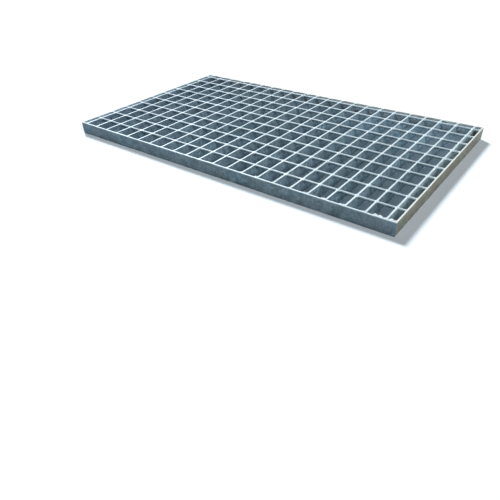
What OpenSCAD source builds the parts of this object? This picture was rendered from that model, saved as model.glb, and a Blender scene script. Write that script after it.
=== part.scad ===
// Welded steel bar grating panel, lying flat.
// The origin is the centre of the underside. +X runs along the long side, across the bearing bars,
// +Y runs along the bearing bars from the front to the back, and +Z is up.

/* [Bearing bars] */
// Number of bearing bars
bar_count = 22; // [4:1:32]
// Centre-to-centre pitch of the bearing bars
bar_pitch = 40; // [25:1:60]
// Thickness of a bearing bar
bar_thickness = 4; // [3:0.5:8]
// Depth of the panel: the bearing bars and the bands stand on edge, this deep
bar_depth = 30; // [20:1:60]

/* [Cross rods] */
// Number of cross rods
rod_count = 10; // [2:1:20]
// Centre-to-centre pitch of the cross rods
rod_pitch = 50; // [30:1:100]
// Diameter of a cross rod
rod_diameter = 6; // [4:0.5:8]

/* [Edge bands] */
// Thickness of the bands that close the edges
band_thickness = 3; // [2:0.5:6]
// From the outermost bearing bar's centre to the outside of the side band
side_margin = 20; // [15:1:60]
// From the first cross rod's centre to the outside of the front band
front_margin = 50; // [15:1:100]
// From the last cross rod's centre to the outside of the back band
back_margin = 20; // [15:1:100]

/* [Hidden] */

panel_length = (bar_count - 1) * bar_pitch + 2 * side_margin;
panel_width = (rod_count - 1) * rod_pitch + front_margin + back_margin;
inner_length = panel_length - 2 * band_thickness;
inner_width = panel_width - 2 * band_thickness;

first_bar_x = -panel_length / 2 + side_margin;
first_rod_y = -panel_width / 2 + front_margin;

// The rods are pressed in until they are flush with the tops of the bearing bars.
rod_z = bar_depth - rod_diameter / 2;
rod_sides = 12;

zinc = [0.56, 0.62, 0.65];
band_zinc = [0.45, 0.48, 0.50];

// A flat bar on edge, running along Y and centred on it.
module bearing_bar() {
    translate([-bar_thickness / 2, -inner_width / 2, 0])
        cube([bar_thickness, inner_width, bar_depth]);
}

// A round cross rod, running along X and centred on it.
module cross_rod() {
    rotate([0, 90, 0])
        cylinder(h = inner_length, d = rod_diameter, center = true, $fn = rod_sides);
}

// The bearing bars, with the cross rods pressed into their tops and fused with them.
module grating_mat() {
    color(zinc)
        union() {
            for (i = [0 : bar_count - 1])
                translate([first_bar_x + i * bar_pitch, 0, 0])
                    bearing_bar();
            for (i = [0 : rod_count - 1])
                translate([0, first_rod_y + i * rod_pitch, rod_z])
                    cross_rod();
        }
}

// A band across the ends of the bearing bars, over the whole length of the panel.
module end_band() {
    color(band_zinc)
        translate([-panel_length / 2, 0, 0])
            cube([panel_length, band_thickness, bar_depth]);
}

// A band across the ends of the cross rods, between the two end bands.
module side_band() {
    color(band_zinc)
        translate([0, -inner_width / 2, 0])
            cube([band_thickness, inner_width, bar_depth]);
}

module front_band() {
    translate([0, -panel_width / 2, 0])
        end_band();
}

module back_band() {
    translate([0, inner_width / 2, 0])
        end_band();
}

module left_band() {
    translate([-panel_length / 2, 0, 0])
        side_band();
}

module right_band() {
    translate([inner_length / 2, 0, 0])
        side_band();
}

grating_mat();
front_band();
back_band();
left_band();
right_band();
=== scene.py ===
"""Dresses the welded steel grating panel: bearing bars, round cross rods, weld metal and edge bands.

Every size is in metres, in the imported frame: +X along the long side, +Y along the bearing bars, +Z up.
"""

import logging
import math
import random
from collections.abc import Callable, Iterator
from contextlib import contextmanager
from dataclasses import dataclass
from enum import Enum, IntEnum

import bmesh
import bpy
from mathutils import Matrix, Vector


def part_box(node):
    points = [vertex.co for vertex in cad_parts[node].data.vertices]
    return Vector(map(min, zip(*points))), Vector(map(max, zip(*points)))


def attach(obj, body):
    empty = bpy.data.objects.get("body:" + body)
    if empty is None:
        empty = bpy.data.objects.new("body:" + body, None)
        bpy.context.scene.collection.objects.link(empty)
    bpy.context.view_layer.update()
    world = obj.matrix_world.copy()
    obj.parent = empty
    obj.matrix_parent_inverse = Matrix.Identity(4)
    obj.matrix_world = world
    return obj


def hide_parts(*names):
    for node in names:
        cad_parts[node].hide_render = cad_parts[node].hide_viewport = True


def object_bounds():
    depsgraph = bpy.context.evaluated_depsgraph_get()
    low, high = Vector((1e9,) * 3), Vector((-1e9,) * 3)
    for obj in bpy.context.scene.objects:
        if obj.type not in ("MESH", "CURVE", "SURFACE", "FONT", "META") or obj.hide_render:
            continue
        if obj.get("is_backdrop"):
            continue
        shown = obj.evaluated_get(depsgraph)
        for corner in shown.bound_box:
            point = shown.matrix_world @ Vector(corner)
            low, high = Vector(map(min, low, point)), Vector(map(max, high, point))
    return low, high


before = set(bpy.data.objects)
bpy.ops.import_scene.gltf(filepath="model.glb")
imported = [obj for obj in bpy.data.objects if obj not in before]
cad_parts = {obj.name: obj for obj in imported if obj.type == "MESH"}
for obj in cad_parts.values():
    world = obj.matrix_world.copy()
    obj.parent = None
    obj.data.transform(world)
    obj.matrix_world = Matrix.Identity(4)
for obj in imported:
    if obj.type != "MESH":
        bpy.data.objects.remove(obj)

log = logging.getLogger("grating")

Point = tuple[float, float, float]
Span = tuple[float, float]
Faces = tuple[int, int]
Colour = tuple[float, float, float, float]
Inputs = dict[str | int, object]

MM = 0.001
BLACK = (0.0, 0.0, 0.0, 1.0)
WHITE = (1.0, 1.0, 1.0, 1.0)
# Painted shade: the colour that the left end is darkened towards.
SHADE_BLUE = (0.0, 0.03, 0.11, 1.0)
MAT_NODE = "grating_mat"

# Ring cuts are made in this many passes, each of which cuts all the stretches that it finds.
RING_PASSES = 2
# An edge or a face's normal runs along an axis when the cosine of its angle to the axis is over this.
ALONG = 0.9
# Corners sharper than these, in degrees, stay sharp on rolled steel and on weld metal.
ROLLED_CREASE = 32.0
WELD_CREASE = 60.0
# Noise and random tones lie around this value.
MIDDLE = 0.5


class Side(Enum):
    """The four edges of the panel, each with the name of its band's node."""

    FRONT = "front_band"
    BACK = "back_band"
    LEFT = "left_band"
    RIGHT = "right_band"


class Axis(IntEnum):
    """The directions of the frame."""

    X = 0
    Y = 1
    Z = 2


class Part(Enum):
    """What a mesh is made of, named as the select modes are, each with its list in a bmesh."""

    VERT = "verts"
    EDGE = "edges"
    FACE = "faces"


# ---------------------------------------------------------------------------------------------- sizes


@dataclass(frozen=True)
class PanelSizes:
    """The sizes that the pieces share: corners from the frame, and counts and sections from the stock."""

    low: Vector
    high: Vector
    bar_count: int = 22
    bar_pitch: float = 40 * MM
    bar_thickness: float = 4 * MM
    rod_count: int = 10
    rod_pitch: float = 50 * MM
    rod_diameter: float = 6 * MM
    front_margin: float = 50 * MM
    band_thickness: float = 3 * MM

    @property
    def top(self) -> float:
        """Height of the walking surface."""
        return self.high.z

    @property
    def rod_z(self) -> float:
        """Height of the rods' centre lines: the rods are flush with the bars' tops."""
        return self.top - self.rod_diameter / 2

    @property
    def inner_low(self) -> Vector:
        """Lowest corner of the space inside the bands."""
        return Vector((self.low.x + self.band_thickness, self.low.y + self.band_thickness, self.low.z))

    @property
    def inner_high(self) -> Vector:
        """Highest corner of the space inside the bands."""
        return Vector((self.high.x - self.band_thickness, self.high.y - self.band_thickness, self.high.z))

    def bar_xs(self) -> list[float]:
        """Works out where the bearing bars stand.

        Returns:
            Their centres along X, from the left.
        """
        middle = (self.low.x + self.high.x) / 2
        first = middle - (self.bar_count - 1) * self.bar_pitch / 2
        return [first + i * self.bar_pitch for i in range(self.bar_count)]

    def rod_ys(self) -> list[float]:
        """Centres of the cross rods along Y."""
        first = self.low.y + self.front_margin
        return [first + i * self.rod_pitch for i in range(self.rod_count)]


@dataclass(frozen=True)
class WeldRun:
    """Weld metal that runs on from a bar's end.

    Attributes:
        bar: The bar's number, from the left.
        length: How far the metal runs along the band.
        reach: How far it reaches along the bar.
        past_bar: Whether it lies on the bar's other side than the fillet weld.
    """

    bar: int
    length: float
    reach: float
    past_bar: bool = False


FRONT_RUNS = (
    WeldRun(1, 7 * MM, 6 * MM),
    WeldRun(6, 9 * MM, 6 * MM),
    WeldRun(11, 16 * MM, 7 * MM),
    WeldRun(14, 6 * MM, 9 * MM),
    WeldRun(17, 8 * MM, 12 * MM),
    WeldRun(18, 9 * MM, 13 * MM),
    WeldRun(19, 9 * MM, 13 * MM),
    WeldRun(20, 8 * MM, 8 * MM),
    WeldRun(21, 25 * MM, 14 * MM),
    WeldRun(21, 14 * MM, 20 * MM, past_bar=True),
)
BACK_RUNS = (
    WeldRun(3, 9 * MM, 6 * MM),
    WeldRun(9, 12 * MM, 6 * MM),
    WeldRun(14, 8 * MM, 6 * MM),
    WeldRun(19, 14 * MM, 7 * MM),
)


# ------------------------------------------------------------------------------------- modelling tools


def deselect_all() -> None:
    """Leaves nothing selected, so that the next operator acts on one new piece."""
    bpy.ops.object.select_all(action="DESELECT")


def select_only(piece: bpy.types.Object) -> None:
    """Selects one piece and makes it the active one.

    Args:
        piece: The object.
    """
    deselect_all()
    piece.select_set(True)
    bpy.context.view_layer.objects.active = piece


def settle(piece: bpy.types.Object) -> None:
    """Puts a piece's place, turn and scale into its mesh, and leaves it as the only selected one."""
    select_only(piece)
    bpy.ops.object.transform_apply(location=True, rotation=True, scale=True)


def name_primitive(name: str) -> bpy.types.Object:
    """Names the primitive that was just added and settles it.

    Args:
        name: The name of its object and mesh.

    Returns:
        The primitive.
    """
    piece = bpy.context.object
    piece.name = piece.data.name = name
    settle(piece)
    return piece


@contextmanager
def editing(piece: bpy.types.Object, part: Part) -> Iterator[None]:
    """Edit mode on one piece, with nothing of it selected.

    Args:
        piece: The object to edit.
        part: What the selection holds.

    Yields:
        Nothing; the piece is back in object mode afterwards.
    """
    select_only(piece)
    bpy.ops.object.mode_set(mode="EDIT")
    bpy.ops.mesh.select_mode(type=part.name)
    bpy.ops.mesh.select_all(action="DESELECT")
    try:
        yield
    finally:
        bpy.ops.object.mode_set(mode="OBJECT")


def pick(piece: bpy.types.Object, part: Part, wanted: Callable[[object], bool]) -> None:
    """Selects the vertices, edges or faces of the piece in edit mode that pass a test.

    Args:
        piece: The object in edit mode.
        part: Which of them, the same as for editing.
        wanted: Takes one and says whether it is picked.
    """
    mesh = bmesh.from_edit_mesh(piece.data)
    for item in getattr(mesh, part.value):
        item.select_set(wanted(item))
    mesh.select_flush_mode()
    bmesh.update_edit_mesh(piece.data)


def runs_along(edge: bmesh.types.BMEdge, axis: Axis) -> bool:
    """Whether an edge runs mostly along an axis."""
    step = edge.verts[1].co - edge.verts[0].co
    return abs(step[axis]) > ALONG * step.length


def box(name: str, low: Vector, high: Vector) -> bpy.types.Object:
    """A box between two corners.

    Args:
        name: The new object's name.
        low: Its lowest corner.
        high: Its highest corner.

    Returns:
        The box, with its place in its mesh.
    """
    deselect_all()
    bpy.ops.mesh.primitive_cube_add(size=1, location=(low + high) / 2, scale=high - low)
    return name_primitive(name)


def ring_cuts(piece: bpy.types.Object, axis: Axis, cuts: int) -> None:
    """Cuts rings around a long piece, in two passes: each stretch becomes (cuts + 1) squared stretches.

    Args:
        piece: The piece.
        axis: The axis that it runs along.
        cuts: The cuts made in every stretch by each pass.
    """
    with editing(piece, Part.EDGE):
        for _ in range(RING_PASSES):
            pick(piece, Part.EDGE, lambda edge: runs_along(edge, axis))
            bpy.ops.mesh.subdivide(number_cuts=cuts)


def rolled_bar(
    name: str, low: Vector, high: Vector, axis: Axis, radius: float, cuts: int
) -> bpy.types.Object:
    """A flat bar with rounded long edges and rings along its length.

    Args:
        name: The new object's name.
        low: Its lowest corner.
        high: Its highest corner.
        axis: The axis that it runs along.
        radius: Radius of its long edges.
        cuts: The ring cuts of each pass.

    Returns:
        The bar.
    """
    piece = box(name, low, high)
    with editing(piece, Part.EDGE):
        pick(piece, Part.EDGE, lambda edge: runs_along(edge, axis))
        bpy.ops.mesh.bevel(offset=radius, segments=3, profile=0.5)
    ring_cuts(piece, axis, cuts)
    return piece


def round_bar(name: str, radius: float, length: float, axis: Axis, sides: int) -> bpy.types.Object:
    """A round bar centred on the origin.

    Args:
        name: The new object's name.
        radius: Its radius.
        length: Its length.
        axis: The axis that it runs along, X or Z.
        sides: How many sides it has.

    Returns:
        The bar.
    """
    turn = (0, math.pi / 2, 0) if axis is Axis.X else (0, 0, 0)
    deselect_all()
    bpy.ops.mesh.primitive_cylinder_add(vertices=sides, radius=radius, depth=length, rotation=turn)
    return name_primitive(name)


def ball(name: str, size: Point, faces: Faces) -> bpy.types.Object:
    """An egg-shaped ball centred on the origin.

    Args:
        name: The new object's name.
        size: Its length along each axis.
        faces: How many faces it has around, and from pole to pole.

    Returns:
        The ball.
    """
    around, down = faces
    deselect_all()
    bpy.ops.mesh.primitive_uv_sphere_add(segments=around, ring_count=down, radius=0.5, scale=size)
    return name_primitive(name)


def cut_off(piece: bpy.types.Object, place: Point, normal: Point) -> None:
    """Cuts a closed piece at a plane, takes away what is beyond it and closes the cut.

    Args:
        piece: The piece.
        place: A point of the plane.
        normal: The plane's normal, towards what is taken away.
    """
    with editing(piece, Part.FACE):
        bpy.ops.mesh.select_all(action="SELECT")
        bpy.ops.mesh.bisect(plane_co=place, plane_no=normal, clear_outer=True, use_fill=True)


def apply_modifier(piece: bpy.types.Object, kind: str, **settings: object) -> None:
    """Adds a modifier to a piece and applies it.

    Args:
        piece: The object.
        kind: The modifier's type.
        settings: Its properties.
    """
    select_only(piece)
    modifier = piece.modifiers.new(kind.title(), kind)
    for key, value in settings.items():
        setattr(modifier, key, value)
    bpy.ops.object.modifier_apply(modifier=modifier.name)


def copies(piece: bpy.types.Object, offsets: list[Vector]) -> list[bpy.types.Object]:
    """Copies of a piece, each with its own mesh; the piece itself goes to the first place.

    Args:
        piece: The modelled piece.
        offsets: How far each copy lies from where the piece was modelled.

    Returns:
        The piece and its copies.
    """
    made = []
    for offset in offsets[1:]:
        select_only(piece)
        bpy.ops.object.duplicate(linked=False)
        twin = bpy.context.object
        twin.location = offset
        made.append(twin)
    piece.location = offsets[0]
    return [piece, *made]


def join(pieces: list[bpy.types.Object], name: str) -> bpy.types.Object:
    """Joins pieces into one object at the origin.

    Args:
        pieces: The objects.
        name: The joined object's name.

    Returns:
        The joined object.
    """
    deselect_all()
    for piece in pieces:
        piece.select_set(True)
    bpy.context.view_layer.objects.active = pieces[0]
    bpy.ops.object.transform_apply(location=True, rotation=True, scale=True)
    bpy.ops.object.join()
    joined = bpy.context.object
    joined.name = joined.data.name = name
    return joined


def roughen(piece: bpy.types.Object, grain: float, strength: float) -> None:
    """Gives a surface the slight unevenness of rolled and dipped steel.

    Args:
        piece: The object.
        grain: Size of the waves.
        strength: Their height from trough to crest.
    """
    texture = bpy.data.textures.new(piece.name + "_waves", "CLOUDS")
    texture.noise_scale = grain
    texture.noise_depth = 1
    apply_modifier(piece, "DISPLACE", texture=texture, texture_coords="GLOBAL", strength=strength)


def bow(piece: bpy.types.Object, axis: Axis, wave: float, strength: float) -> None:
    """Bows long bars sideways by slow waves.

    Args:
        piece: The joined bars.
        axis: The axis along which they give.
        wave: Size of the waves.
        strength: How far they swing from one side to the other.
    """
    texture = bpy.data.textures.new(piece.name + "_bow", "CLOUDS")
    texture.noise_scale = wave
    texture.noise_depth = 0
    settings = {"texture_coords": "GLOBAL", "direction": axis.name, "strength": strength}
    apply_modifier(piece, "DISPLACE", texture=texture, **settings)


def keep_within(piece: bpy.types.Object, low: Vector, high: Vector) -> None:
    """Presses any vertex that stands out of a box back onto its face.

    Args:
        piece: The object.
        low: The box's lowest corner.
        high: The box's highest corner.
    """
    for vert in piece.data.vertices:
        vert.co = Vector(min(max(c, a), b) for c, a, b in zip(vert.co, low, high))


def smooth_by_angle(piece: bpy.types.Object, degrees: float) -> None:
    """Shades a piece smooth, with its edges sharper than an angle kept sharp.

    Args:
        piece: The object.
        degrees: The angle.
    """
    select_only(piece)
    bpy.ops.object.shade_smooth_by_angle(angle=math.radians(degrees))


# ----------------------------------------------------------------------------------------- materials


class Nodes:
    """A short way to place and join shader nodes in one tree."""

    def __init__(self, tree: bpy.types.NodeTree) -> None:
        """Works on that tree."""
        self.tree = tree

    def add(self, kind: str, inputs: Inputs | None = None, **settings: object) -> bpy.types.Node:
        """Places a node.

        Args:
            kind: The node's type.
            inputs: What each input takes: another node's output socket, or a value.
            settings: The node's properties.

        Returns:
            The node.
        """
        node = self.tree.nodes.new(kind)
        for key, value in settings.items():
            setattr(node, key, value)
        for key, value in (inputs or {}).items():
            self.feed(node.inputs[key], value)
        return node

    def feed(self, socket: bpy.types.NodeSocket, value: object) -> None:
        """Joins an output to a socket, or sets the socket's value.

        Args:
            socket: The input socket.
            value: Another node's output socket, or a value.
        """
        if isinstance(value, bpy.types.NodeSocket):
            self.tree.links.new(value, socket)
        else:
            socket.default_value = value

    def group(self, tree: bpy.types.NodeTree, values: dict[str, float]) -> bpy.types.NodeOutputs:
        """Places a shader group with its own values and returns its outputs."""
        return self.add("ShaderNodeGroup", values, node_tree=tree).outputs

    def math(self, operation: str, *values: object, clamp: bool = False) -> object:
        """A Math node's result."""
        node = self.add("ShaderNodeMath", dict(enumerate(values)), operation=operation, use_clamp=clamp)
        return node.outputs[0]

    def times(self, a: object, b: object) -> object:
        """The product of two values."""
        return self.math("MULTIPLY", a, b)

    def rest(self, value: object, clamp: bool = False) -> object:
        """What a value leaves of 1."""
        return self.math("SUBTRACT", 1.0, value, clamp=clamp)

    def mix(self, factor: object, a: object, b: object) -> object:
        """Mixes two colours.

        Args:
            factor: The second colour's share. Below 0, the first colour moves away from the second.
            a: The first colour.
            b: The second colour.

        Returns:
            The mixed colour.
        """
        node = self.add("ShaderNodeMix", data_type="RGBA", clamp_factor=False)
        self.feed(node.inputs[0], factor)
        self.feed(node.inputs[6], a)
        self.feed(node.inputs[7], b)
        return node.outputs[2]

    def ramp(self, value: object, low: float, high: float) -> object:
        """A value spread so that low gives 0 and high gives 1, with soft ends."""
        node = self.add("ShaderNodeMapRange", {0: value, 1: low, 2: high}, interpolation_type="SMOOTHSTEP")
        return node.outputs[0]

    def place(self) -> object:
        """The place in the frame of the point that is shaded."""
        return self.add("ShaderNodeTexCoord").outputs["Object"]

    def axes(self, vector: object) -> bpy.types.NodeOutputs:
        """The three parts of a vector."""
        return self.add("ShaderNodeSeparateXYZ", {0: vector}).outputs

    def noise(self, place: object, scale: object, detail: float = 3.0, roughness: float = 0.5) -> object:
        """A noise texture's value at a place."""
        inputs = {"Vector": place, "Scale": scale, "Detail": detail, "Roughness": roughness}
        return self.add("ShaderNodeTexNoise", inputs).outputs[0]

    def stretched(self, place: object, scale: Point) -> object:
        """A place scaled by axis, for streaks and rolling marks."""
        return self.add("ShaderNodeVectorMath", {0: place, 1: scale}, operation="MULTIPLY").outputs[0]


def fresh_nodes(owner: bpy.types.Material | bpy.types.World) -> Nodes:
    """Empties a material's or world's node tree.

    Args:
        owner: The material or world.

    Returns:
        What places nodes in the tree.
    """
    owner.use_nodes = True
    owner.node_tree.nodes.clear()
    return Nodes(owner.node_tree)


class GroupNodes(Nodes):
    """The nodes of a new shader group."""

    def __init__(self, name: str, inputs: dict[str, float]) -> None:
        """Starts the group.

        Args:
            name: Its name.
            inputs: Its value inputs, with their defaults.
        """
        super().__init__(bpy.data.node_groups.new(name, "ShaderNodeTree"))
        for key, default in inputs.items():
            socket = self.tree.interface.new_socket(name=key, in_out="INPUT", socket_type="NodeSocketFloat")
            socket.default_value = default
        self.given = self.add("NodeGroupInput").outputs

    def finish(self, outputs: dict[str, object]) -> bpy.types.NodeTree:
        """Ends the group with these value outputs.

        Args:
            outputs: What each output puts out.

        Returns:
            The group.
        """
        for key in outputs:
            self.tree.interface.new_socket(name=key, in_out="OUTPUT", socket_type="NodeSocketFloat")
        self.add("NodeGroupOutput", outputs)
        return self.tree


@dataclass(frozen=True)
class ZincBloom:
    """The dull bloom of dipped zinc: faint crystals, clouds and fine grain.

    The three shares say how much of the shade comes from each of them.
    """

    wobble_scale: float = 120.0
    wobble: float = 6 * MM
    grain_scale: float = 330.0
    crystal_share: float = 0.26
    cloud_share: float = 0.46
    grain_share: float = 0.28
    grain_height: float = 0.5

    def build(self) -> bpy.types.NodeTree:
        """Builds the group.

        Returns:
            A group with Shade, Drift, Speckle and Height outputs. Drift is the slow change of hue across the
            panel, and Speckle is fine, and is 0 where the zinc has its own shade.
        """
        n = GroupNodes(
            "ZincBloom",
            {"Crystal Scale": 90.0, "Cloud Scale": 18.0, "Drift Scale": 14.0, "Speckle Scale": 190.0},
        )
        place = n.place()
        wobble = n.add("ShaderNodeTexNoise", {"Vector": place, "Scale": self.wobble_scale, "Detail": 2.0})
        swing = (self.wobble, self.wobble, self.wobble)
        bent = n.add(
            "ShaderNodeVectorMath",
            {0: wobble.outputs["Color"], 1: swing, 2: place},
            operation="MULTIPLY_ADD",
        )
        cells = {"Vector": bent.outputs[0], "Scale": n.given["Crystal Scale"]}
        crystals = n.add("ShaderNodeTexVoronoi", cells)
        tone = n.add("ShaderNodeSeparateColor", {0: crystals.outputs["Color"]}).outputs[0]
        clouds = n.noise(place, n.given["Cloud Scale"], detail=4.0)
        drift = n.noise(place, n.given["Drift Scale"], detail=2.0)
        grain = n.noise(place, self.grain_scale, roughness=0.6)
        speckle = n.noise(place, n.given["Speckle Scale"], roughness=0.6)
        body = n.math("MULTIPLY_ADD", clouds, self.cloud_share, n.times(tone, self.crystal_share))
        swell = n.times(clouds, 1 - self.grain_height)
        return n.finish(
            {
                "Shade": n.math("MULTIPLY_ADD", grain, self.grain_share, body, clamp=True),
                "Drift": n.ramp(drift, low=0.36, high=0.64),
                "Speckle": n.math("SUBTRACT", speckle, MIDDLE),
                "Height": n.math("MULTIPLY_ADD", grain, self.grain_height, swell),
            }
        )


@dataclass(frozen=True)
class RubbedTop:
    """Zinc scuffed by stacking and feet, with painted sheen, and painted light by depth below the top.

    Attributes:
        waver_scale: How fine the waver of the bright edge's lower line is.
        waver: How far that line wavers.
        edge_strength: How much of the level faces' scuffing and painted sheen the edge has.
    """

    waver_scale: float = 75.0
    waver: float = 1.6 * MM
    edge_strength: float = 0.85

    def build(self) -> bpy.types.NodeTree:
        """Builds the group.

        Returns:
            A group with a Mask output, for level faces at the walking surface and the upper edge of upright
            faces as far down as Edge: scuffing with a painted sheen and highlight. Two fades mark painted
                light:
            Rim Light, over the uppermost part of upright faces, and Bottom Light, from the top to the bottom.
        """
        n = GroupNodes(
            "RubbedTop",
            {
                "Top": 30 * MM,
                "Reach": 1.5 * MM,
                "Patchiness": 0.3,
                "Patch Scale": 60.0,
                "Edge": 0.0,
                "Lip Depth": 12 * MM,
            },
        )
        place = n.place()
        depth = n.math("SUBTRACT", n.given["Top"], n.axes(place)[2])
        near = n.rest(n.math("DIVIDE", depth, n.given["Reach"]), clamp=True)
        normal = n.add("ShaderNodeNewGeometry").outputs["Normal"]
        # Faces that look up, and upright faces' upper edge, get the bright top colour: scuffing and a painted
        # sheen.
        level = n.ramp(n.axes(normal)[2], low=0.25, high=0.85)
        flat = n.times(n.ramp(near, low=0.05, high=0.6), level)
        patchy = n.noise(place, n.given["Patch Scale"], detail=4.0, roughness=0.6)
        missed = n.rest(n.ramp(patchy, low=0.30, high=0.62))
        kept = n.rest(n.times(missed, n.given["Patchiness"]))
        higher = n.math("SUBTRACT", depth, self.waver / 2)
        wavering = n.math("MULTIPLY_ADD", n.noise(place, self.waver_scale), self.waver, higher)
        edge = n.times(n.math("LESS_THAN", wavering, n.given["Edge"]), self.edge_strength)
        return n.finish(
            {
                "Mask": n.math("MULTIPLY", n.math("MAXIMUM", flat, edge), kept, clamp=True),
                # Painted light: paler near the top of upright faces, and towards the bottom.
                "Lip": n.rest(n.math("DIVIDE", depth, n.given["Lip Depth"]), clamp=True),
                "Drained": n.math("DIVIDE", depth, n.given["Top"], clamp=True),
            }
        )


@dataclass(frozen=True)
class InnerSide:
    """What changes with the place on the panel: faces that look in on the mat, and painted light and shade.

    Attributes:
        gap_light_change: How much painted Gap Light grows from middle to back, and shrinks to the front.
        left_shade_middle: What the painted Left Shade is at the middle of the panel.
    """

    gap_light_change: float = 0.55
    left_shade_middle: float = 0.23

    def build(self) -> bpy.types.NodeTree:
        """Builds the group.

        Returns:
            A group with four outputs. Mask is 1 on the faces that look in on the mat. Gap Light, painted
            light, is 0 but beyond the last bars, where it is about 1 and grows from front to back. Back Right
            Light, painted light, grows from 0 at the middle to 1 at the back right corner, and Left Shade,
            painted shade, grows to 1 at the left end. Half Length and Half Width are the panel's, Skin is how
            far its outer faces reach in, and Gap is how far the last bars' centres are from the ends.
        """
        n = GroupNodes(
            "InnerSide",
            {"Half Length": 440 * MM, "Half Width": 260 * MM, "Skin": 1.5 * MM, "Gap": 20 * MM},
        )
        along, across = n.axes(n.place())[:2]
        from_end = n.math("SUBTRACT", n.given["Half Length"], n.math("ABSOLUTE", along))
        from_side = n.math("SUBTRACT", n.given["Half Width"], n.math("ABSOLUTE", across))
        right = n.math("DIVIDE", along, n.given["Half Length"])
        back = n.math("DIVIDE", across, n.given["Half Width"])
        between = n.math("MULTIPLY", n.math("ADD", right, back), 0.5, clamp=True)
        in_gap = n.math("LESS_THAN", from_end, n.given["Gap"])
        slope = self.left_shade_middle - 1
        return n.finish(
            {
                "Mask": n.math("GREATER_THAN", n.math("MINIMUM", from_end, from_side), n.given["Skin"]),
                # Painted light beyond the last bars and towards the back right corner, painted shade towards
                # the left end.
                "End Gap": n.times(in_gap, n.math("MULTIPLY_ADD", back, self.gap_light_change, 1.0)),
                "Corner": n.times(between, between),
                "Thin End": n.math("MULTIPLY_ADD", right, slope, self.left_shade_middle, clamp=True),
            }
        )


class BarRows:
    """What changes from one bearing bar to the next."""

    def build(self) -> bpy.types.NodeTree:
        """Builds the group.

        Returns:
            A group with On Bar, which is 1 at the bars and 0 between them, and Tone, which each bar has its
            own of.
        """
        n = GroupNodes("BarRows", {"First": -420 * MM, "Pitch": 40 * MM, "Half Width": 3 * MM})
        along = n.axes(n.place())[0]
        count = n.math("DIVIDE", n.math("SUBTRACT", along, n.given["First"]), n.given["Pitch"])
        number = n.math("ROUND", count)
        aside = n.math("ABSOLUTE", n.math("SUBTRACT", count, number))
        tone = n.add("ShaderNodeTexWhiteNoise", {"W": number}, noise_dimensions="1D").outputs["Value"]
        on_bar = n.math("LESS_THAN", n.times(aside, n.given["Pitch"]), n.given["Half Width"])
        return n.finish({"On Bar": on_bar, "Tone": tone})


@dataclass(frozen=True)
class Grime:
    """Yard dirt: cloudy patches, long rubbed streaks and short upright runs."""

    streak_scale: Point = (14.0, 14.0, 320.0)
    streak_share: float = 0.35
    run_scale: Point = (130.0, 130.0, 12.0)
    run_share: float = 0.40

    def build(self) -> bpy.types.NodeTree:
        """Builds the group.

        Returns:
            A group with a Mask output, and a Runs output for the upright runs alone.
        """
        n = GroupNodes("Grime", {"Amount": 0.5, "Patch Scale": 22.0})
        place = n.place()
        cloudy = n.noise(place, n.given["Patch Scale"], detail=5.0, roughness=0.62)
        streaky = n.noise(n.stretched(place, self.streak_scale), scale=1.0)
        running = n.noise(n.stretched(place, self.run_scale), scale=1.0, detail=4.0, roughness=0.6)
        patches = n.ramp(cloudy, low=0.34, high=0.70)
        streaks = n.ramp(streaky, low=0.45, high=0.72)
        runs = n.ramp(running, low=0.48, high=0.76)
        some = n.math("MULTIPLY_ADD", streaks, self.streak_share, n.times(runs, self.run_share))
        mask = n.math("MULTIPLY", n.math("ADD", patches, some), n.given["Amount"], clamp=True)
        return n.finish({"Mask": mask, "Runs": runs})


@dataclass(frozen=True)
class Effects:
    """The shader groups that the finishes share."""

    bloom: bpy.types.NodeTree
    wear_and_painted_light: bpy.types.NodeTree
    inner_and_light: bpy.types.NodeTree
    rows: bpy.types.NodeTree
    grime: bpy.types.NodeTree


@dataclass(frozen=True)
class Masks:
    """What the shader groups put out in one material, and the zinc's cloudy shade there."""

    zinc: bpy.types.NodeOutputs
    top_wear_and_light: bpy.types.NodeOutputs
    inside: bpy.types.NodeOutputs
    rows: bpy.types.NodeOutputs
    grime: bpy.types.NodeOutputs
    shade: object


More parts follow.
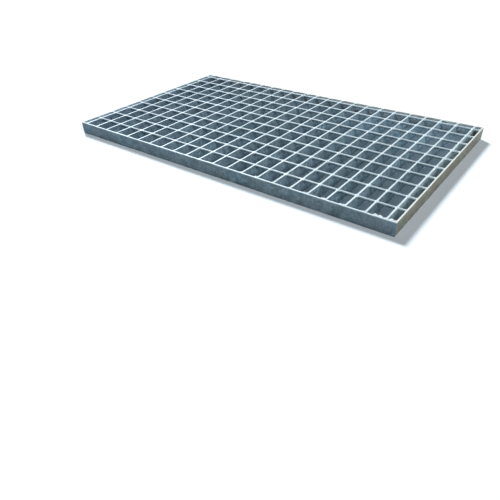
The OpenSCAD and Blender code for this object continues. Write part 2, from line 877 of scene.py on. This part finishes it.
@dataclass(frozen=True)
class ZincFinish:
    """Hot-dip galvanised steel: dull bloomed sides with dirt, and scuffed tops with a painted sheen.

    Attributes:
        name: The material's name.
        dark: Colour of the darker zinc, on sides.
        light: Colour of the paler zinc, on sides.
        drifted: Colour that the sides drift to from place to place.
        bright: Colour of the tops on the bars: scuffing and a painted sheen.
        bright_between: Colour of the tops between the bars, the same mix, also painted as light near the top
            of inner faces.
        dirt: Colour of the dirt.
        dirt_amount: How much dirt there is.
        reach: How far below the walking surface level faces still take the bright top colour.
        drift: How far the colour drifts.
        row_tone: How unlike the bars are to each other.
        patch_scale: How fine the patches of dirt are.
        patchiness: How much of the rubbing is missed in patches.
        patch_fineness: How fine those patches are.
        roughness: Roughness of the clean dark zinc.
        metallic: How metallic the sides are.
        rubbed_metallic: How metallic the zinc under the bright top colour is.
        edge: How far down upright faces get the bright colour, a painted highlight and scuffing. Below 0
            none.
        inner: Paler colour painted on the faces that look in on the mat: painted light in their shade.
        inner_light_share: How much of that painted light the inner faces have.
        drained: How much paler the sides are painted towards the bottom: painted light in their shade.
        speckle: How strong the fine speckle is.
        gap_light_share: How much of the inner colour is painted beyond the last bars, as painted light.
        corner: How much paler the sides are painted towards the back right corner, as painted light.
        left_shade_sides: How much darker the sides are painted towards the left end, as painted shade.
        left_shade_tops: How much darker the bright tops are painted towards it, as painted shade.
    """

    name: str
    dark: Colour
    light: Colour
    drifted: Colour
    bright: Colour
    bright_between: Colour
    dirt: Colour
    dirt_amount: float
    reach: float
    drift: float = 0.5
    row_tone: float = 0.0
    patch_scale: float = 22.0
    patchiness: float = 0.3
    patch_fineness: float = 60.0
    roughness: float = 0.56
    metallic: float = 0.5
    rubbed_metallic: float = 0.3
    edge: float = -1 * MM
    inner: Colour = (0.36, 0.46, 0.52, 1)
    inner_light_share: float = 0.0
    drained: float = 0.0
    speckle: float = 1.2
    gap_light_share: float = 0.0
    corner: float = 0.0
    left_shade_sides: float = 0.15
    left_shade_tops: float = 0.15

    # What all the finishes have alike. A bar's zinc reaches so many thicknesses from its centre, and dulling
    # is what dirt and clouds each add to the roughness, and what rubbing takes away.
    shade_low: float = 0.36
    shade_high: float = 0.66
    inner_shade: float = 0.3
    # This share of the bright top colour is painted as light near the top of inner faces.
    rim_light_share: float = 0.8
    bar_reach: float = 0.9
    dulling: float = 0.10
    run_height: float = 0.35
    bump_strength: float = 0.4
    bump_depth: float = 0.5 * MM

    def masks(self, n: Nodes, effects: Effects, sizes: PanelSizes) -> Masks:
        """Places the shader groups with this finish's values.

        Args:
            n: The material's nodes.
            effects: The shader groups.
            sizes: The panel's sizes, for the walking surface, the ends and the rows of bars.

        Returns:
            What they put out.
        """
        first, *_, last = sizes.bar_xs()
        zinc = n.group(effects.bloom, {})
        top_wear_and_light = n.group(
            effects.wear_and_painted_light,
            {
                "Top": sizes.top,
                "Reach": self.reach,
                "Patchiness": self.patchiness,
                "Patch Scale": self.patch_fineness,
                "Edge": self.edge,
            },
        )
        inside = n.group(
            effects.inner_and_light,
            {
                "Half Length": sizes.high.x,
                "Half Width": sizes.high.y,
                "Skin": sizes.band_thickness / 2,
                "Gap": sizes.high.x - last,
            },
        )
        cover = sizes.bar_thickness * self.bar_reach
        rows = n.group(effects.rows, {"First": first, "Pitch": sizes.bar_pitch, "Half Width": cover})
        grime = n.group(effects.grime, {"Amount": self.dirt_amount, "Patch Scale": self.patch_scale})
        tone = n.times(n.math("SUBTRACT", rows["Tone"], MIDDLE), self.row_tone)
        shade = n.ramp(n.math("ADD", zinc["Shade"], tone), self.shade_low, self.shade_high)
        return Masks(zinc, top_wear_and_light, inside, rows, grime, shade)

    def outer_colour(self, n: Nodes, masks: Masks) -> object:
        """Colours the outer sides and the mat's: cloudy zinc and dirt, with painted light and shade by place.

        Args:
            n: The material's nodes.
            masks: What the shader groups put out.

        Returns:
            The colour.
        """
        inside = masks.inside
        # Painted light: paler towards the back right corner and towards the bottom.
        corner_lit = n.math("MULTIPLY_ADD", inside["Corner"], self.corner, masks.shade)
        pale = n.math("MULTIPLY_ADD", masks.top_wear_and_light["Drained"], self.drained, corner_lit)
        dull = n.mix(pale, self.dark, self.light)
        turned = n.mix(n.times(masks.zinc["Drift"], self.drift), dull, self.drifted)
        # Painted light: the paler inner colour beyond the last bars, more towards the back.
        gap_lit = n.mix(n.times(inside["End Gap"], self.gap_light_share), turned, self.inner)
        soiled = n.mix(masks.grime["Mask"], gap_lit, self.dirt)
        speckled = n.mix(n.times(masks.zinc["Speckle"], -self.speckle), soiled, BLACK)
        # Painted shade: darker towards the left end.
        return n.mix(n.times(inside["Thin End"], self.left_shade_sides), speckled, SHADE_BLUE)

    def inner_lit_colour(self, n: Nodes, masks: Masks) -> object:
        """Colours the sides that look in on the mat with a painted light, paler still near their top.

        Args:
            n: The material's nodes.
            masks: What the shader groups put out.

        Returns:
            The colour.
        """
        # Painted light: the inner colour, paler towards the bright top colour near the top.
        rim_lit = n.mix(n.times(masks.top_wear_and_light["Lip"], self.rim_light_share), self.inner, self.bright_between)
        shade = n.math("MULTIPLY_ADD", masks.shade, self.inner_shade, 1 - self.inner_shade)
        return n.mix(shade, BLACK, rim_lit)

    def top_colour(self, n: Nodes, masks: Masks) -> object:
        """The colour of the bright tops: scuffing and a painted sheen."""
        wear_and_sheen_colour = n.mix(masks.rows["On Bar"], self.bright_between, self.bright)
        # Painted shade: the bright tops darker towards the left end.
        return n.mix(n.times(masks.inside["Thin End"], self.left_shade_tops), wear_and_sheen_colour, SHADE_BLUE)

    def material(self, effects: Effects, sizes: PanelSizes) -> bpy.types.Material:
        """Builds the material.

        Args:
            effects: The shared shader groups.
            sizes: The panel's sizes.

        Returns:
            The material.
        """
        material = bpy.data.materials.new(self.name)
        n = fresh_nodes(material)
        masks = self.masks(n, effects, sizes)
        wear_and_painted_light = masks.top_wear_and_light["Mask"]
        # Painted light: faces that look in on the mat take the paler inner colour.
        share = n.times(masks.inside["Mask"], self.inner_light_share)
        sided = n.mix(share, self.outer_colour(n, masks), self.inner_lit_colour(n, masks))
        # The tops take the bright colour: partly scuffing, partly a painted sheen.
        colour = n.mix(wear_and_painted_light, sided, self.top_colour(n, masks))
        soiled = n.math("MULTIPLY_ADD", masks.grime["Mask"], self.dulling, self.roughness)
        cloudy = n.math("MULTIPLY_ADD", masks.shade, self.dulling, soiled)
        roughness = n.math("MULTIPLY_ADD", wear_and_painted_light, -self.dulling, cloudy)
        metal = n.math("MULTIPLY_ADD", wear_and_painted_light, self.rubbed_metallic - self.metallic, self.metallic)
        height = n.math("MULTIPLY_ADD", masks.grime["Runs"], self.run_height, masks.zinc["Height"])
        relief = {"Strength": self.bump_strength, "Distance": self.bump_depth, "Height": height}
        normal = n.add("ShaderNodeBump", relief).outputs[0]
        looks = {"Base Color": colour, "Roughness": roughness, "Metallic": metal, "Normal": normal}
        shader = n.add("ShaderNodeBsdfPrincipled", looks)
        n.add("ShaderNodeOutputMaterial", {"Surface": shader.outputs[0]})
        return material


# Mesh zinc paints light and shade: paler low down, in the end gaps and to the back right, darker to the left.
MESH_ZINC = ZincFinish(
    name="mesh_zinc",
    dark=(0.13, 0.21, 0.25, 1),
    light=(0.255, 0.37, 0.435, 1),
    drifted=(0.24, 0.29, 0.36, 1),
    bright=(0.61, 0.73, 0.785, 1),
    bright_between=(0.405, 0.495, 0.55, 1),
    dirt=(0.15, 0.21, 0.215, 1),
    dirt_amount=0.25,
    reach=3.0 * MM,
    drift=0.4,
    row_tone=0.16,
    patchiness=0.45,
    inner=(0.46, 0.58, 0.63, 1),
    drained=0.6,
    speckle=2.1,
    gap_light_share=0.8,
    corner=1.9,
    left_shade_sides=0.25,
    left_shade_tops=0.28,
)
BAND_ZINC = ZincFinish(
    name="band_zinc",
    dark=(0.09, 0.15, 0.185, 1),
    light=(0.19, 0.285, 0.34, 1),
    drifted=(0.165, 0.20, 0.235, 1),
    bright=(0.60, 0.72, 0.775, 1),
    bright_between=(0.60, 0.72, 0.775, 1),
    dirt=(0.085, 0.12, 0.12, 1),
    dirt_amount=0.42,
    reach=1.2 * MM,
    patch_scale=17.0,
    patchiness=0.25,
    edge=1.6 * MM,
    # Painted light: a pale colour on the band's inner faces.
    inner=(0.50, 0.64, 0.72, 1),
    inner_light_share=0.9,
)
# Brownish olive zinc: weathering and dirt, and a painted reflection of brown ground on its faces.
WEATHERED_GROUND_REFLECT_ZINC = ZincFinish(
    name="weathered_zinc",
    dark=(0.145, 0.155, 0.13, 1),
    light=(0.24, 0.25, 0.22, 1),
    drifted=(0.18, 0.22, 0.19, 1),
    bright=(0.70, 0.75, 0.72, 1),
    bright_between=(0.70, 0.75, 0.72, 1),
    dirt=(0.16, 0.13, 0.09, 1),
    dirt_amount=0.55,
    reach=1.2 * MM,
    drift=0.7,
    patch_scale=20.0,
    patchiness=0.1,
    metallic=0.35,
    edge=1.2 * MM,
    # Painted light: a pale colour on the band's inner faces.
    inner=(0.72, 0.80, 0.84, 1),
    inner_light_share=0.9,
    speckle=1.8,
)
# The weld's bright colour is scuffing and a painted sheen on its tops, in fine patches.
WELD_ZINC = ZincFinish(
    name="weld_zinc",
    dark=(0.20, 0.27, 0.30, 1),
    light=(0.34, 0.42, 0.45, 1),
    drifted=(0.30, 0.35, 0.37, 1),
    bright=(0.60, 0.68, 0.70, 1),
    bright_between=(0.58, 0.66, 0.69, 1),
    dirt=(0.20, 0.24, 0.23, 1),
    dirt_amount=0.35,
    reach=9.0 * MM,
    patchiness=0.85,
    patch_fineness=260.0,
    roughness=0.62,
    speckle=2.0,
)


# --------------------------------------------------------------------------------------------- pieces


@dataclass
class GratingMat:
    """The welded mat: bearing bars with round cross rods pressed into their tops."""

    sizes: PanelSizes
    seed: int
    edge_radius: float = 0.7 * MM
    bar_cuts: int = 6
    bar_wave: float = 110 * MM
    bar_bow: float = 1.0 * MM
    bar_grain: float = 50 * MM
    bar_unevenness: float = 0.25 * MM
    rod_sides: int = 16
    rod_cuts: int = 9
    rod_wave: float = 130 * MM
    rod_bow: float = 1.4 * MM
    knot: Point = (9.5 * MM, 11.0 * MM, 7.0 * MM)
    knot_faces: Faces = (14, 8)
    knot_depth: float = 2.6 * MM
    knot_turns: Span = (-0.5, 0.5)
    knot_sizes: Span = (0.85, 1.1)
    knot_lengths: Span = (0.9, 1.1)

    def bars(self) -> bpy.types.Object:
        """Models one bearing bar and copies it across the panel.

        Returns:
            All the bearing bars, joined, each a little bowed as rolled stock is.
        """
        s = self.sizes
        half = Vector((s.bar_thickness / 2, 0, 0))
        low = Vector((0, s.inner_low.y, s.low.z)) - half
        high = Vector((0, s.inner_high.y, s.top)) + half
        bar = rolled_bar("welded_mat", low, high, Axis.Y, self.edge_radius, self.bar_cuts)
        bars = join(copies(bar, [Vector((x, 0, 0)) for x in s.bar_xs()]), "welded_mat")
        bow(bars, Axis.X, self.bar_wave, self.bar_bow)
        roughen(bars, self.bar_grain, self.bar_unevenness)
        return bars

    def rods(self) -> bpy.types.Object:
        """Models one round rod and copies it along the bars.

        Returns:
            All the cross rods, joined.
        """
        s = self.sizes
        length = s.inner_high.x - s.inner_low.x
        rod = round_bar("cross_rods", s.rod_diameter / 2, length, Axis.X, self.rod_sides)
        ring_cuts(rod, Axis.X, self.rod_cuts)
        middle = (s.inner_low.x + s.inner_high.x) / 2
        rods = join(copies(rod, [Vector((middle, y, s.rod_z)) for y in s.rod_ys()]), "cross_rods")
        bow(rods, Axis.Y, self.rod_wave, self.rod_bow)
        return rods

    def knots(self) -> bpy.types.Object:
        """Models the upset metal at one crossing and copies it to every crossing.

        Returns:
            All the weld knots, joined.
        """
        s = self.sizes
        knot = ball("weld_knots", self.knot, self.knot_faces)
        cut_off(knot, (0, 0, self.knot_depth), (0, 0, 1))
        spread = random.Random(self.seed)
        places = [Vector((x, y, s.top - self.knot_depth)) for x in s.bar_xs() for y in s.rod_ys()]
        made = copies(knot, places)
        for twin in made:
            twin.rotation_euler.z = spread.uniform(*self.knot_turns)
            size = spread.uniform(*self.knot_sizes)
            twin.scale = (size, size * spread.uniform(*self.knot_lengths), 1)
        return join(made, "weld_knots")

    def build(self) -> bpy.types.Object:
        """Fuses the bars, rods and knots into one mat.

        Returns:
            The mat.
        """
        mat = self.bars()
        for other in (self.rods(), self.knots()):
            apply_modifier(mat, "BOOLEAN", operation="UNION", solver="MANIFOLD", object=other)
            bpy.data.objects.remove(other)
        keep_within(mat, self.sizes.inner_low, self.sizes.inner_high)
        smooth_by_angle(mat, ROLLED_CREASE)
        return mat


@dataclass
class EdgeBand:
    """A flat bar that closes one edge of the panel."""

    side: Side
    edge_radius: float = 0.6 * MM
    length_cuts: int = 6
    height_cuts: int = 1
    grain: float = 90 * MM
    unevenness: float = 0.5 * MM

    def build(self) -> bpy.types.Object:
        """Models the band in its node's place.

        Returns:
            The band.
        """
        low, high = (Vector(c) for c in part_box(self.side.value))
        axis = Axis.X if self.side in (Side.FRONT, Side.BACK) else Axis.Y
        band = rolled_bar(self.side.value + "_bar", low, high, axis, self.edge_radius, self.length_cuts)
        ring_cuts(band, Axis.Z, self.height_cuts)
        roughen(band, self.grain, self.unevenness)
        keep_within(band, low, high)
        smooth_by_angle(band, ROLLED_CREASE)
        return band


@dataclass
class EndWelds:
    """Fillet welds between the bars' ends and the front or back band, one at the side of each bar.

    Some of them run on along the band as rows of lumps.
    """

    sizes: PanelSizes
    side: Side
    runs: tuple[WeldRun, ...]
    seed: int
    radius: float = 3.6 * MM
    bead_sides: int = 12
    bead_cuts: int = 2
    bead_sizes: Span = (0.75, 1.08)
    bead_turns: Span = (0, 6)
    set_out: float = 0.7 * MM
    foot: float = 4 * MM
    head: float = 1.2 * MM
    end_inset: float = 0.35
    end_height: float = 0.25
    lump_step: float = 5 * MM
    fewest_lumps: int = 2
    lump_faces: Faces = (14, 8)
    lump_widths: Span = (1.1, 2.2)
    lump_reaches: Span = (0.5, 1.7)
    lump_heights: Span = (0.9, 1.7)
    lump_turns: Span = (-0.9, 0.9)
    sunk: float = 0.8 * MM
    grain: float = 3 * MM
    unevenness: float = 1.3 * MM
    melt: float = 0.75 * MM

    def upright(self) -> bpy.types.Object:
        """Models one upright bead, standing at the origin.

        Returns:
            The bead.
        """
        depth = self.sizes.top - self.sizes.low.z - self.foot - self.head
        bead = round_bar("upright_bead", self.radius, depth, Axis.Z, self.bead_sides)
        ring_cuts(bead, Axis.Z, self.bead_cuts)
        with editing(bead, Part.FACE):
            pick(bead, Part.FACE, lambda face: abs(face.normal.z) > ALONG)
            bpy.ops.mesh.inset(thickness=self.radius * self.end_inset, depth=self.radius * self.end_height)
        return bead

    def run_on(self, run: WeldRun, face: float, spread: random.Random) -> list[bpy.types.Object]:
        """Models weld metal that runs on from a bar's end, as a row of unlike lumps that melt together.

        Args:
            run: Where it is and how far it reaches.
            face: The band's inner face.
            spread: Where the lumps' unlikeness comes from.

        Returns:
            The lumps, in their places.
        """
        s = self.sizes
        away = (1 if self.side is Side.FRONT else -1) * (1 if run.past_bar else -1)
        count = max(self.fewest_lumps, round(run.length / self.lump_step))
        made = []
        for k in range(count):
            share = (k + 0.5) / count
            wide = run.length / count * spread.uniform(*self.lump_widths)
            deep = run.reach * spread.uniform(*self.lump_reaches)
            high = self.radius * spread.uniform(*self.lump_heights)
            lump = ball("run_on", (wide, deep, high), self.lump_faces)
            x = s.bar_xs()[run.bar] + away * (s.bar_thickness / 2 + share * run.length)
            lump.location = (x, face, s.top - high / 2 - self.sunk * spread.random())
            lump.rotation_euler.z = spread.uniform(*self.lump_turns)
            made.append(lump)
        return made

    def build(self) -> bpy.types.Object:
        """Sets the beads along the band, and cuts them off at the band's inner face.

        Returns:
            The welds of this band.
        """
        s = self.sizes
        front = self.side is Side.FRONT
        inward = 1 if front else -1
        face = s.inner_low.y if front else s.inner_high.y
        spread = random.Random(self.seed)
        middle = (s.low.z + self.foot + s.top - self.head) / 2
        out = s.bar_thickness / 2 + self.set_out
        y = face + inward * self.set_out
        made = copies(self.upright(), [Vector((x - inward * out, y, middle)) for x in s.bar_xs()])
        for bead in made:
            size = spread.uniform(*self.bead_sizes)
            bead.scale = (size, size, 1)
            bead.rotation_euler.z = spread.uniform(*self.bead_turns)
        for run in self.runs:
            made += self.run_on(run, face, spread)
        welds = join(made, self.side.name.lower() + "_end_welds")
        roughen(welds, self.grain, self.unevenness)
        apply_modifier(welds, "REMESH", mode="VOXEL", voxel_size=self.melt)
        cut_off(welds, (0, face, 0), (0, -inward, 0))
        keep_within(welds, s.inner_low, s.inner_high)
        smooth_by_angle(welds, WELD_CREASE)
        return welds


@dataclass
class SideWelds:
    """The blobs that hold the rods' ends to a side band, and the beads up the two corners beside it."""

    sizes: PanelSizes
    side: Side
    seed: int
    blob: Point = (7 * MM, 9 * MM, 7.5 * MM)
    blob_faces: Faces = (12, 8)
    blob_set_out: float = 0.8 * MM
    blob_widths: Span = (0.7, 1.15)
    blob_lengths: Span = (0.8, 1.1)
    blob_heights: Span = (0.85, 1)
    bead_radius: float = 4.2 * MM
    bead_sides: int = 12
    bead_cuts: int = 2
    bead_set_out: float = 0.6 * MM
    bead_headroom: float = 2 * MM
    grain: float = 4 * MM
    unevenness: float = 0.9 * MM

    def build(self) -> bpy.types.Object:
        """Sets the blobs and beads along the band, and cuts them off at the bands' inner faces.

        Returns:
            The welds of this band.
        """
        s = self.sizes
        right = self.side is Side.RIGHT
        face = s.inner_high.x if right else s.inner_low.x
        outward = 1 if right else -1
        spread = random.Random(self.seed)
        blob = ball("blob", self.blob, self.blob_faces)
        made = copies(blob, [Vector((face - outward * self.blob_set_out, y, s.rod_z)) for y in s.rod_ys()])
        for twin in made:
            spans = (self.blob_widths, self.blob_lengths, self.blob_heights)
            twin.scale = [spread.uniform(*span) for span in spans]
        depth = s.top - s.low.z - self.bead_headroom
        bead = round_bar("corner_bead", self.bead_radius, depth, Axis.Z, self.bead_sides)
        ring_cuts(bead, Axis.Z, self.bead_cuts)
        x = face - outward * self.bead_set_out
        z = s.low.z + depth / 2
        ends = (s.inner_low.y + self.bead_set_out, s.inner_high.y - self.bead_set_out)
        made += copies(bead, [Vector((x, y, z)) for y in ends])
        welds = join(made, self.side.name.lower() + "_side_welds")
        roughen(welds, self.grain, self.unevenness)
        cut_off(welds, (face, 0, 0), (outward, 0, 0))
        cut_off(welds, (0, s.inner_low.y, 0), (0, -1, 0))
        cut_off(welds, (0, s.inner_high.y, 0), (0, 1, 0))
        keep_within(welds, s.inner_low, s.inner_high)
        smooth_by_angle(welds, WELD_CREASE)
        return welds


@dataclass
class ZincDrips:
    """Drops of zinc that froze under the rods as the panel was lifted out of the bath."""

    sizes: PanelSizes
    seed: int
    count: int = 90
    size: Point = (2.2 * MM, 1.6 * MM, 4.4 * MM)
    faces: Faces = (8, 6)
    tip_share: float = 0.4
    tip_length: float = 0.8 * MM
    from_bar: Span = (3 * MM, 32 * MM)
    off_rod: Span = (-0.4 * MM, 0.4 * MM)
    hang: Span = (-0.6 * MM, 0.6 * MM)
    turns: Span = (0, 3)
    lengths: Span = (0.6, 1.1)

    def build(self) -> bpy.types.Object:
        """Models one drip and copies it under the rods, beside the bars.

        Returns:
            The drips.
        """
        s = self.sizes
        drip = ball("zinc_drips", self.size, self.faces)
        with editing(drip, Part.VERT):
            pick(drip, Part.VERT, lambda vert: vert.co.z < -self.size[2] * self.tip_share)
            bpy.ops.transform.translate(value=(0, 0, -self.tip_length))
        spread = random.Random(self.seed)
        bottom = s.rod_z - s.rod_diameter / 2
        places = []
        for _ in range(self.count):
            x = spread.choice(s.bar_xs()[:-1]) + s.bar_thickness / 2 + spread.uniform(*self.from_bar)
            y = spread.choice(s.rod_ys()) + spread.uniform(*self.off_rod)
            places.append(Vector((x, y, bottom + spread.uniform(*self.hang))))
        made = copies(drip, places)
        for twin in made:
            twin.rotation_euler.z = spread.uniform(*self.turns)
            twin.scale.z = spread.uniform(*self.lengths)
        drips = join(made, "zinc_drips")
        smooth_by_angle(drips, WELD_CREASE)
        return drips


# ---------------------------------------------------------------------------------------------- stage


@dataclass(frozen=True)
class Sun:
    """A soft parallel light.

    Attributes:
        name: The lamp's name.
        bearing: The compass side that it comes from, in degrees from +X towards +Y.
        height: How high above the floor it comes from, in degrees.
        spread: How wide it looks from the panel, in degrees.
        strength: Its strength.
        distance: How far from the panel the lamp hangs.
    """

    name: str
    bearing: float
    height: float
    spread: float
    strength: float
    distance: float = 3.0

    def build(self) -> None:
        """Hangs the lamp, with the light running down to the panel."""
        flat = math.cos(math.radians(self.height))
        turn = math.radians(self.bearing)
        place = Vector((flat * math.cos(turn), flat * math.sin(turn), math.sin(math.radians(self.height))))
        deselect_all()
        bpy.ops.object.light_add(type="SUN", location=place * self.distance)
        lamp = bpy.context.object
        lamp.name = self.name
        lamp.data.energy = self.strength
        lamp.data.angle = math.radians(self.spread)
        lamp.rotation_euler = (-place).to_track_quat("-Z", "Y").to_euler()


@dataclass(frozen=True)
class Studio:
    """The pale floor, soft lights and camera."""

    camera_place: Point = (0.6585, -0.9421, 0.4684)
    camera_aim: Point = (0.0532, -0.1808, -0.2345)
    camera_roll: float = -2.14
    lens: float = 33.6
    sensor_width: float = 36.0
    floor_size: float = 14.0
    floor_colour: Colour = (0.74, 0.81, 0.85, 1)
    floor_seen: Colour = (0.93, 1.03, 1.11, 1)
    floor_drop: float = 0.2 * MM
    world_light: float = 0.08
    key: Sun = Sun("key_light", bearing=150, height=43, spread=14, strength=3.5)
    fill: Sun = Sun("fill_light", bearing=-24, height=30, spread=22, strength=1.7)

    def build(self) -> None:
        """Makes the stage."""
        self.world()
        self.floor()
        self.key.build()
        self.fill.build()
        self.camera()

    def seen(self, n: Nodes) -> object:
        """Whether the ray is from the camera, or a reflection or refraction of one that is: 1 if so, else 0.

        Args:
            n: The nodes to add it to.

        Returns:
            The value.
        """
        path = n.add("ShaderNodeLightPath").outputs
        # The depth counts whole bounces, so that under a half means none.
        unscattered = n.math("LESS_THAN", path["Diffuse Depth"], 0.5)
        mirrored = n.times(path["Is Glossy Ray"], unscattered)
        either = n.math("MAXIMUM", path["Is Camera Ray"], mirrored)
        return n.math("MAXIMUM", either, path["Is Transmission Ray"])

    def world(self) -> None:
        """Soft even light, and a white backdrop to the camera and to reflections."""
        world = bpy.data.worlds.new("studio")
        bpy.context.scene.world = world
        n = fresh_nodes(world)
        strength = n.math("MULTIPLY_ADD", self.seen(n), 1.0 - self.world_light, self.world_light)
        sky = n.add("ShaderNodeBackground", {"Color": WHITE, "Strength": strength})
        n.add("ShaderNodeOutputWorld", {"Surface": sky.outputs[0]})

    def floor(self) -> None:
        """A wide pale floor under the panel, white to the camera where nothing shades it.

        From below it is clear, so that it doesn't hide the panel's underside.
        """
        deselect_all()
        bpy.ops.mesh.primitive_plane_add(size=self.floor_size, location=(0, 0, -self.floor_drop))
        floor = name_primitive("floor")
        material = bpy.data.materials.new("pale_floor")
        n = fresh_nodes(material)
        colour = n.mix(self.seen(n), self.floor_colour, self.floor_seen)
        matt = n.add("ShaderNodeBsdfDiffuse", {"Color": colour})
        clear = n.add("ShaderNodeBsdfTransparent")
        below = n.add("ShaderNodeNewGeometry").outputs["Backfacing"]
        either = n.add("ShaderNodeMixShader", {0: below, 1: matt.outputs[0], 2: clear.outputs[0]})
        n.add("ShaderNodeOutputMaterial", {"Surface": either.outputs[0]})
        floor.data.materials.append(material)
        floor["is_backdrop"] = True

    def camera(self) -> None:
        """The camera, in front of the panel's right corner and above it."""
        deselect_all()
        bpy.ops.object.camera_add(location=self.camera_place)
        camera = bpy.context.object
        camera.data.lens = self.lens
        camera.data.sensor_width = self.sensor_width
        aim = (Vector(self.camera_aim) - Vector(self.camera_place)).to_track_quat("-Z", "Y")
        turned = aim.to_matrix() @ Matrix.Rotation(math.radians(self.camera_roll), 3, "Z")
        camera.rotation_euler = turned.to_euler()
        bpy.context.scene.camera = camera


# ----------------------------------------------------------------------------------------------- main


def finish_piece(
    piece: bpy.types.Object, material: bpy.types.Material, node: str | None = None
) -> None:
    """Dresses a piece and ties it to the frame.

    Args:
        piece: The finished object.
        material: Its material.
        node: The CAD node that it stands for, if it stands for one.
    """
    piece.data.materials.clear()
    piece.data.materials.append(material)
    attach(piece, "root")
    if node:
        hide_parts(node)
    log.info("%s: %d faces", piece.name, len(piece.data.polygons))


def main() -> None:
    """Builds the pieces in order, then the stage."""
    logging.basicConfig(level=logging.INFO, format="%(message)s")
    low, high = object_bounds()
    sizes = PanelSizes(Vector(low), Vector(high))
    effects = Effects(
        bloom=ZincBloom().build(),
        wear_and_painted_light=RubbedTop().build(),
        inner_and_light=InnerSide().build(),
        rows=BarRows().build(),
        grime=Grime().build(),
    )
    mesh_zinc = MESH_ZINC.material(effects, sizes)
    band_zinc = BAND_ZINC.material(effects, sizes)
    weathered_zinc = WEATHERED_GROUND_REFLECT_ZINC.material(effects, sizes)
    weld_zinc = WELD_ZINC.material(effects, sizes)
    finish_piece(GratingMat(sizes, seed=11).build(), mesh_zinc, MAT_NODE)
    for side in Side:
        # The right and back bands take the brownish finish with its painted ground reflection.
        finish = weathered_zinc if side in (Side.RIGHT, Side.BACK) else band_zinc
        finish_piece(EdgeBand(side).build(), finish, side.value)
    welds = (
        EndWelds(sizes, Side.FRONT, FRONT_RUNS, seed=23),
        EndWelds(sizes, Side.BACK, BACK_RUNS, seed=29),
        SideWelds(sizes, Side.LEFT, seed=37),
        SideWelds(sizes, Side.RIGHT, seed=31),
        ZincDrips(sizes, seed=41),
    )
    for weld in welds:
        finish_piece(weld.build(), weld_zinc)
    Studio().build()
    scene = bpy.context.scene
    scene.view_settings.view_transform = "Standard"
    low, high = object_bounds()


if __name__ == "__main__":
    main()
